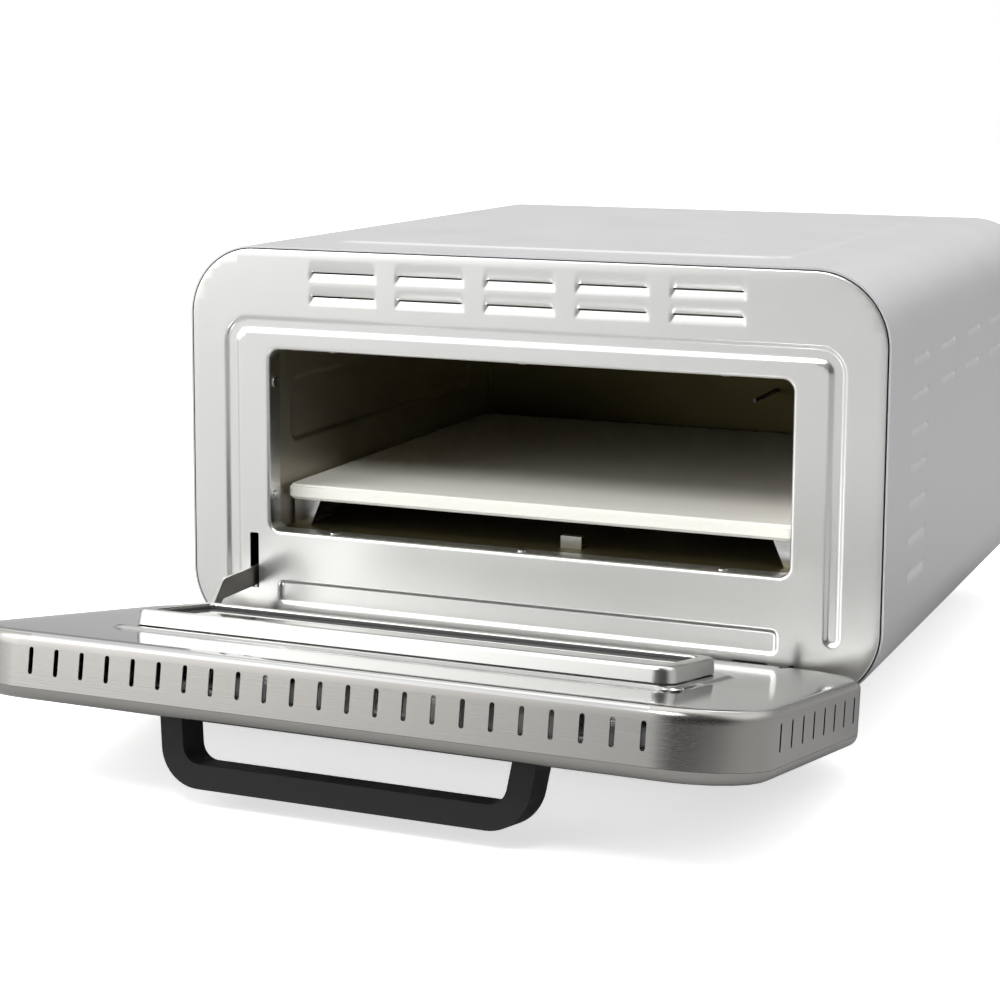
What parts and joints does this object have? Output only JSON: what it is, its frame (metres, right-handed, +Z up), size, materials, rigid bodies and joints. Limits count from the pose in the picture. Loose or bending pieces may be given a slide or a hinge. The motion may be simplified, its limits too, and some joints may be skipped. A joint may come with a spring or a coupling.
{
  "type": "countertop pizza oven",
  "caption": "Steel-cased countertop electric pizza oven with a drop-down windowed door, bar handle, knobs, stone and heater tubes.",
  "frame": {"origin": "centre of the bounding box at floor level, with the door open", "axes": "+X to the right seen from the front, +Y from the door towards the back, +Z up"},
  "size_m": [0.46, 0.7392, 0.285],
  "materials": {
    "casing_steel": "satin",
    "front_steel": "satin",
    "door_steel": "brushed",
    "polished_steel": "polished",
    "zinc_sheet": "galvanised",
    "cavity_steel": "galvanised",
    "bright_steel": "plain",
    "arm_steel": "dark plain",
    "heater_steel": "dark sheath",
    "foot_rubber": "matte",
    "seal_rubber": "matte",
    "wool": "loose fibre",
    "stone": "matte",
    "white_ceramic": "matte",
    "wire_sleeve": "braided sleeve",
    "black_plastic": "matte",
    "control_plastic": "matte",
    "board_green": "satin",
    "lens_plastic": "translucent",
    "clear_glass": "clear"
  },
  "bodies": {
    "oven_body": {"outer_wrap": "casing_steel", "front_plate": "front_steel", "back_panel": "zinc_sheet", "base_plate": "zinc_sheet", "feet": "foot_rubber", "foot_screws": "bright_steel", "back_screws": "bright_steel", "base_screws": "bright_steel", "liner_sides": "cavity_steel", "liner_top": "cavity_steel", "liner_floor": "cavity_steel", "liner_back": "cavity_steel", "liner_rivets": "bright_steel", "insulation": "wool", "stone_supports": "bright_steel", "upper_element": "heater_steel", "lower_element": "heater_steel", "element_bushes": "white_ceramic", "element_clips": "bright_steel", "floor_clip": "bright_steel", "temperature_probes": "bright_steel", "thermal_cutout": "white_ceramic", "terminal_block": "white_ceramic", "wiring_loom": "wire_sleeve", "cable_gland": "black_plastic", "hinge_ears": "bright_steel", "ear_studs": "bright_steel"},
    "door": {"door_skin": "door_steel", "door_inner_panel": "polished_steel", "door_screws": "bright_steel", "window_frame": "front_steel", "inner_glass": "clear_glass", "glass_seal": "seal_rubber", "outer_glass": "clear_glass", "glass_clips": "bright_steel", "handle": "black_plastic", "handle_screws": "bright_steel", "hinge_leaves": "zinc_sheet", "hinge_pins": "bright_steel", "arm_bracket": "zinc_sheet", "arm_pin": "bright_steel", "heat_controls": "control_plastic", "timer_control": "control_plastic", "control_board": "board_green", "board_cover": "control_plastic", "indicator_lenses": "lens_plastic"},
    "stay_arm": {"door_arm": "arm_steel"},
    "upper_heat_dial": {"upper_heat_knob": "black_plastic", "upper_heat_shaft": "bright_steel"},
    "lower_heat_dial": {"lower_heat_knob": "black_plastic", "lower_heat_shaft": "bright_steel"},
    "timer_dial": {"timer_knob": "black_plastic", "timer_shaft": "bright_steel"},
    "stone": {"pizza_stone": "stone"}
  },
  "joints": [
    {"name": "door_hinge", "type": "hinge", "parent": "oven_body", "child": "door", "pos_m": [0, -0.11637, 0.0315], "axis": [-1, 0, 0], "range_deg": [0, 80.4]},
    {"name": "stay_arm_pivot", "type": "hinge", "parent": "door", "child": "stay_arm", "pos_m": [-0.1845, -0.1564, 0.05206], "axis": [-1, 0, 0], "range_deg": [-64.4, 0]},
    {"name": "upper_heat_turn", "type": "hinge", "parent": "door", "child": "upper_heat_dial", "pos_m": [-0.08, -0.15684, 0.02009], "axis": [0, 0.1668, 0.986], "range_deg": [0, 270]},
    {"name": "lower_heat_turn", "type": "hinge", "parent": "door", "child": "lower_heat_dial", "pos_m": [0, -0.15684, 0.02009], "axis": [0, 0.1668, 0.986], "range_deg": [0, 270]},
    {"name": "timer_turn", "type": "hinge", "parent": "door", "child": "timer_dial", "pos_m": [0.08, -0.15684, 0.02009], "axis": [0, 0.1668, 0.986], "range_deg": [0, 300]},
    {"name": "stone_lift", "type": "slide", "parent": "oven_body", "child": "stone", "axis": [0, 0, 1], "range_m": [0, 0.02]}
  ],
  "couplings": [
    {"joint": "stay_arm_pivot", "follows": "door_hinge", "ratio": -0.8}
  ]
}
